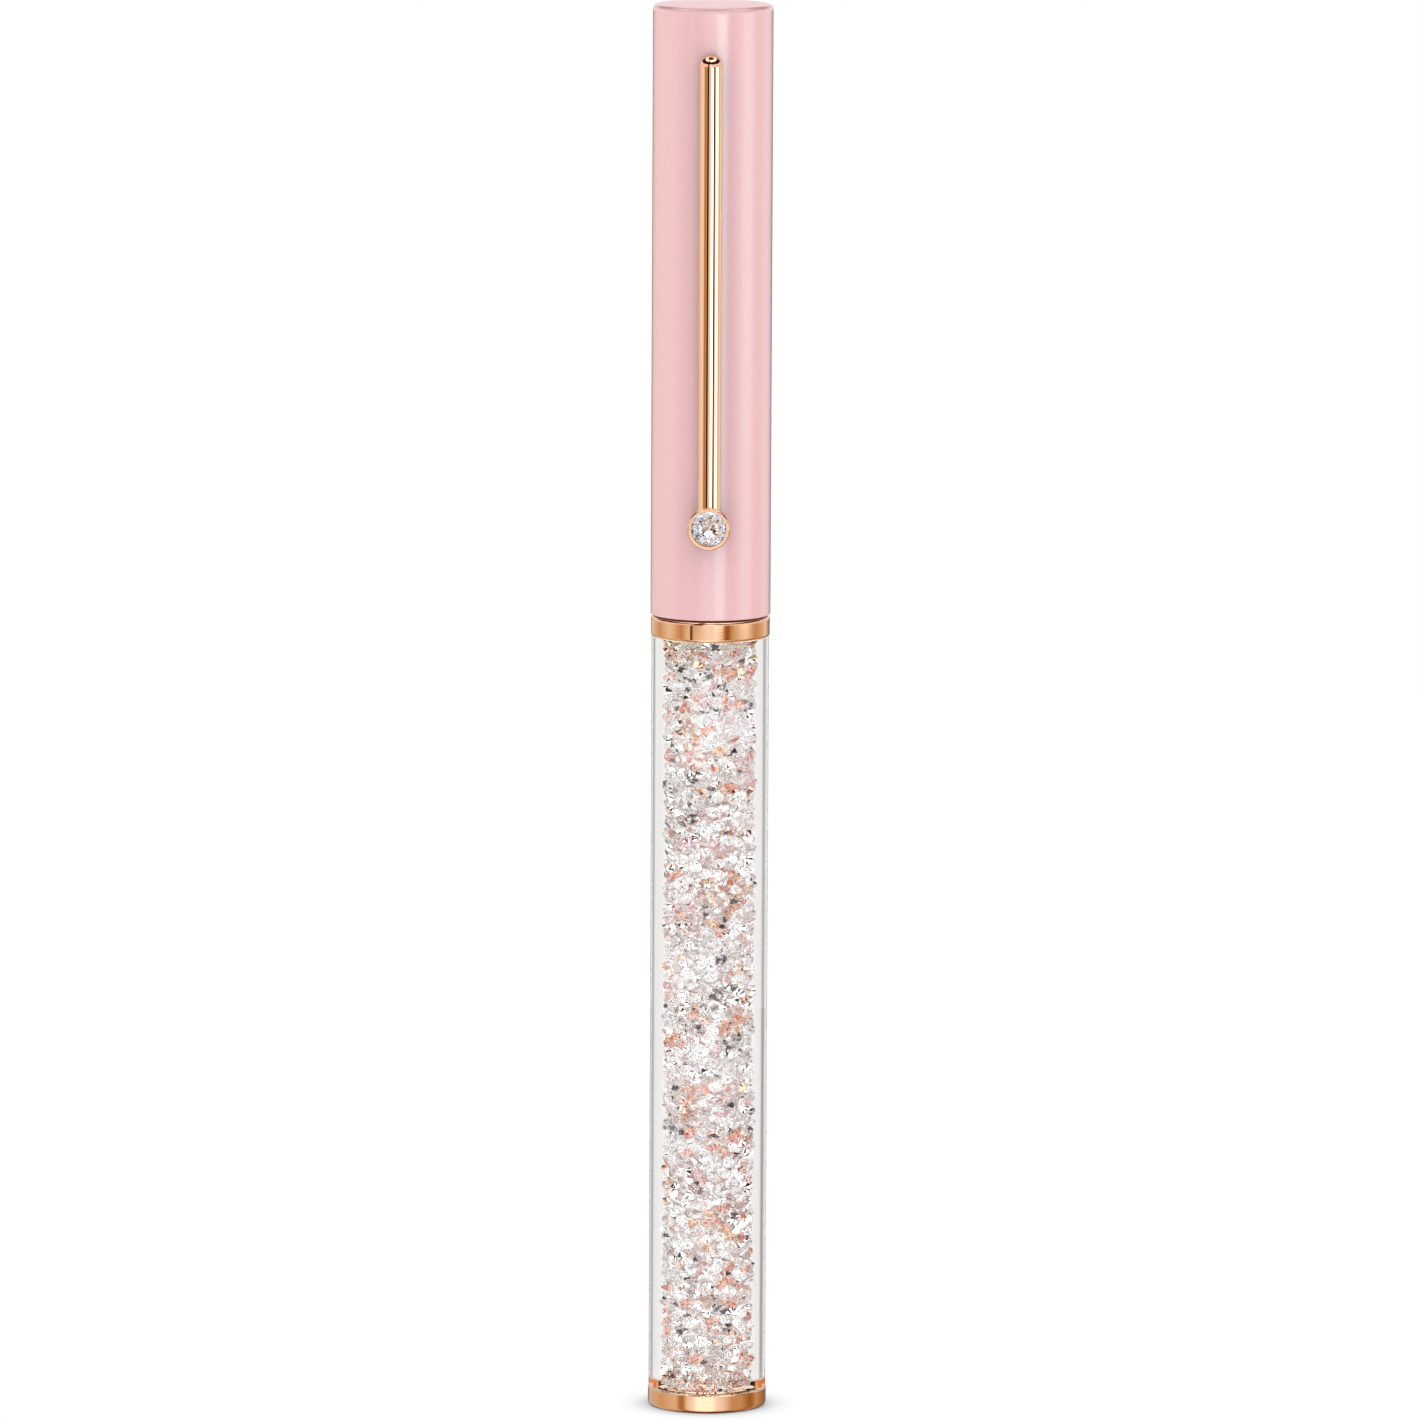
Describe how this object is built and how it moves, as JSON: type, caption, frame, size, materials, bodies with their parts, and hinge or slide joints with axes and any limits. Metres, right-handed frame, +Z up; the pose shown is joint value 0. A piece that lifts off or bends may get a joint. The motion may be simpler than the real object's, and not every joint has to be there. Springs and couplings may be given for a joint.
{
  "type": "gel pen",
  "caption": "Capped gel pen that stands on a flat end ring: lacquered cap with a gem-tipped metal clip, plated rings, and a clear barrel packed with small crystals.",
  "frame": {"origin": "centre of the end ring's flat face, on the pen's axis, where the pen stands", "axes": "+Z up the pen's axis from the barrel's end to the cap's crown, -Y towards the clip"},
  "size_m": [0.0116, 0.014, 0.137],
  "materials": {
    "clear_acrylic": "polished clear acrylic",
    "crystal": "cut glass, foiled behind",
    "rose_gold": "polished rose-gold plating",
    "pink_lacquer": "pink pearl lacquer",
    "turned_brass": "turned",
    "clear_plastic": "clear moulded plastic",
    "white_plastic": "moulded",
    "spring_steel": "bright wire",
    "seal_rubber": "satin",
    "nickel_silver": "bright turned",
    "tungsten_ball": "polished",
    "gel_ink": "black gel",
    "follower_grease": "clear grease"
  },
  "bodies": {
    "barrel": {"barrel_tube": "clear_acrylic", "crystal_fill": "crystal", "end_ring": "rose_gold", "end_plug": "rose_gold", "centre_ring": "rose_gold", "section_socket": "turned_brass", "refill_well": "clear_plastic", "refill_spring": "spring_steel"},
    "seal": {"section_seal": "seal_rubber"},
    "section": {"thread_insert": "turned_brass", "grip_sleeve": "rose_gold", "snap_ring": "spring_steel", "refill_guide": "white_plastic", "nose_cone": "rose_gold"},
    "refill": {"refill_tube": "clear_plastic", "gel_ink": "gel_ink", "ink_follower": "follower_grease", "tail_plug": "white_plastic", "tip_body": "nickel_silver", "tip_spring": "spring_steel"},
    "ball": {"tip_ball": "tungsten_ball"},
    "cap": {"cap_shell": "pink_lacquer", "cap_liner": "white_plastic", "clip_anchor": "turned_brass"},
    "clip": {"clip_arm": "rose_gold", "clip_crystal": "crystal"}
  },
  "joints": [
    {"name": "section_lift", "type": "slide", "parent": "barrel", "child": "seal", "axis": [0, 0, 1], "range_m": [0, 0.0046]},
    {"name": "section_turn", "type": "hinge", "parent": "seal", "child": "section", "pos_m": [0, 0, 0.0777], "axis": [0, 0, 1], "range_deg": [0, 2160]},
    {"name": "cap_pull", "type": "slide", "parent": "section", "child": "cap", "axis": [0, 0, 1], "range_m": [0, 0.062]},
    {"name": "clip_flex", "type": "hinge", "parent": "cap", "child": "clip", "pos_m": [0, -0.00415, 0.1302], "axis": [-1, 0, 0], "range_deg": [0, 3], "stiffness_Nm_per_rad": 2.5, "springref_deg": -0.57},
    {"name": "refill_float", "type": "slide", "parent": "section", "child": "refill", "axis": [0, 0, -1], "range_m": [0, 0.0008], "stiffness_N_per_m": 1500, "springref_m": -0.0003, "deforming": ["refill_spring"]},
    {"name": "ball_roll", "type": "hinge", "parent": "refill", "child": "ball", "pos_m": [0, 0, 0.13315], "axis": [1, 0, 0], "continuous": true}
  ],
  "couplings": [
    {"joint": "section_lift", "follows": "section_turn", "m_per_rad": 0.00011937}
  ]
}
